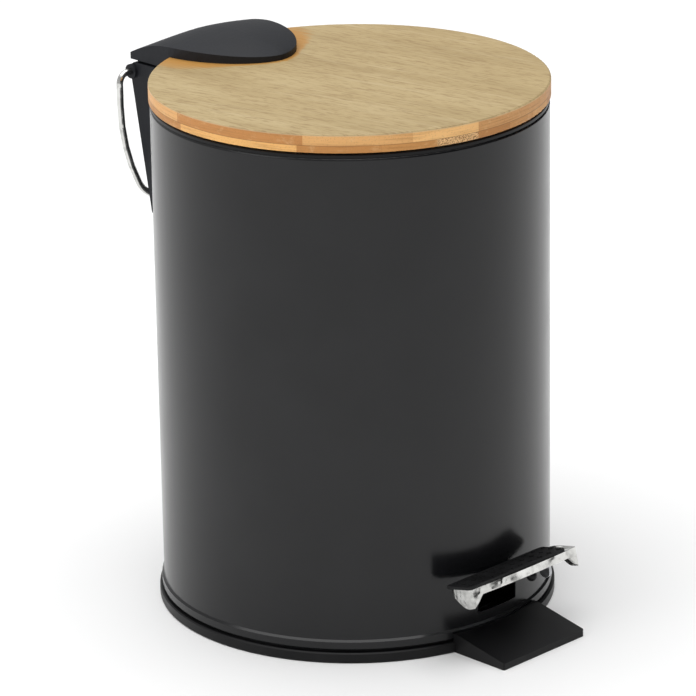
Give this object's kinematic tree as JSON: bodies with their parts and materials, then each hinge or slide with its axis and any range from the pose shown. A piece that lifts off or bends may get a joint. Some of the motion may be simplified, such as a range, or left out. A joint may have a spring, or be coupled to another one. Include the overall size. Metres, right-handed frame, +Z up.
{
  "type": "pedal trash can",
  "caption": "Small round pedal bin with a steel body, bamboo lid on a domed rear hinge, wire carry handle, foot pedal and removable inner bucket.",
  "frame": {"origin": "on the can's axis, at the floor that the base ring stands on", "axes": "+Z up along the can's axis, -Y towards the pedal, +Y towards the lid's hinge, +X to the right seen from the pedal"},
  "size_m": [0.173, 0.2173, 0.2394],
  "materials": {
    "powder_coat": "satin powder coat with a fine texture",
    "base_plastic": "satin",
    "hinge_plastic": "fine moulded grain",
    "inner_plastic": "satin",
    "rubber": "matte",
    "pad_rubber": "matte",
    "bamboo": "matte oiled",
    "chrome": "polished",
    "zinc_steel": "zinc plated"
  },
  "bodies": {
    "can": {"base_ring": "base_plastic", "bottom_plate": "zinc_steel", "outer_shell": "powder_coat", "rim_ring": "base_plastic", "lid_bumpers": "rubber", "inner_bucket": "inner_plastic", "bucket_bail": "zinc_steel", "hinge_bracket": "hinge_plastic", "bracket_screws": "zinc_steel", "hinge_pin": "zinc_steel", "rod_guides": "inner_plastic", "lever_axle": "zinc_steel", "axle_bracket": "zinc_steel", "axle_bracket_rivets": "zinc_steel"},
    "lid": {"lid_board": "bamboo", "lid_liner": "inner_plastic", "lid_screws": "zinc_steel", "hinge_cap": "hinge_plastic", "cap_screws": "zinc_steel"},
    "handle": {"carry_handle": "chrome"},
    "rod": {"push_rod": "zinc_steel", "rod_foot": "inner_plastic"},
    "pedal": {"pedal_lever": "zinc_steel", "pedal_plate": "chrome", "pedal_pad": "pad_rubber", "pedal_rivets": "zinc_steel"}
  },
  "joints": [
    {"name": "lid_hinge", "type": "hinge", "parent": "can", "child": "lid", "pos_m": [0, 0.103, 0.221], "axis": [-1, 0, 0], "range_deg": [0, 75]},
    {"name": "pedal_hinge", "type": "hinge", "parent": "can", "child": "pedal", "pos_m": [0, -0.015, 0.016], "axis": [1, 0, 0], "range_deg": [0, 11.2]},
    {"name": "rod_slide", "type": "slide", "parent": "can", "child": "rod", "axis": [0, 0, 1], "range_m": [0, 0.0183]},
    {"name": "handle_hinge", "type": "hinge", "parent": "can", "child": "handle", "pos_m": [0, 0.103, 0.221], "axis": [1, 0, 0], "range_deg": [-5, 160]}
  ],
  "couplings": [
    {"joint": "pedal_hinge", "follows": "lid_hinge", "ratio": 0.1493},
    {"joint": "rod_slide", "follows": "lid_hinge", "m_per_rad": 0.01398}
  ]
}
